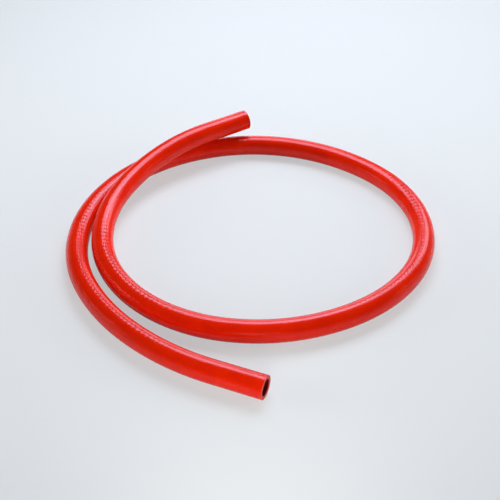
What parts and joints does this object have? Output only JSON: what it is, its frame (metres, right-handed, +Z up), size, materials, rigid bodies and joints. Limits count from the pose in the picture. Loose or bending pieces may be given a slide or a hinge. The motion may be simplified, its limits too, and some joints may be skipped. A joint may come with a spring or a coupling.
{
  "type": "rubber gas tubing",
  "caption": "Length of flexible red rubber tube with a plain bore, lying in an open loop, that carries gas from a bench tap to a laboratory burner.",
  "frame": {"origin": "on the surface that the tube lies on, at the middle of its width and depth", "axes": "+Z up. -Y towards the end of the tube that lies in front, +Y towards the raised end at the back, +X to the right of someone who looks along +Y"},
  "size_m": [0.2366, 0.2669, 0.0301],
  "materials": {
    "rubber": "satin, with a fine cloth-wrapped texture"
  },
  "bodies": {
    "root": {"tubing": "rubber"}
  },
  "joints": []
}
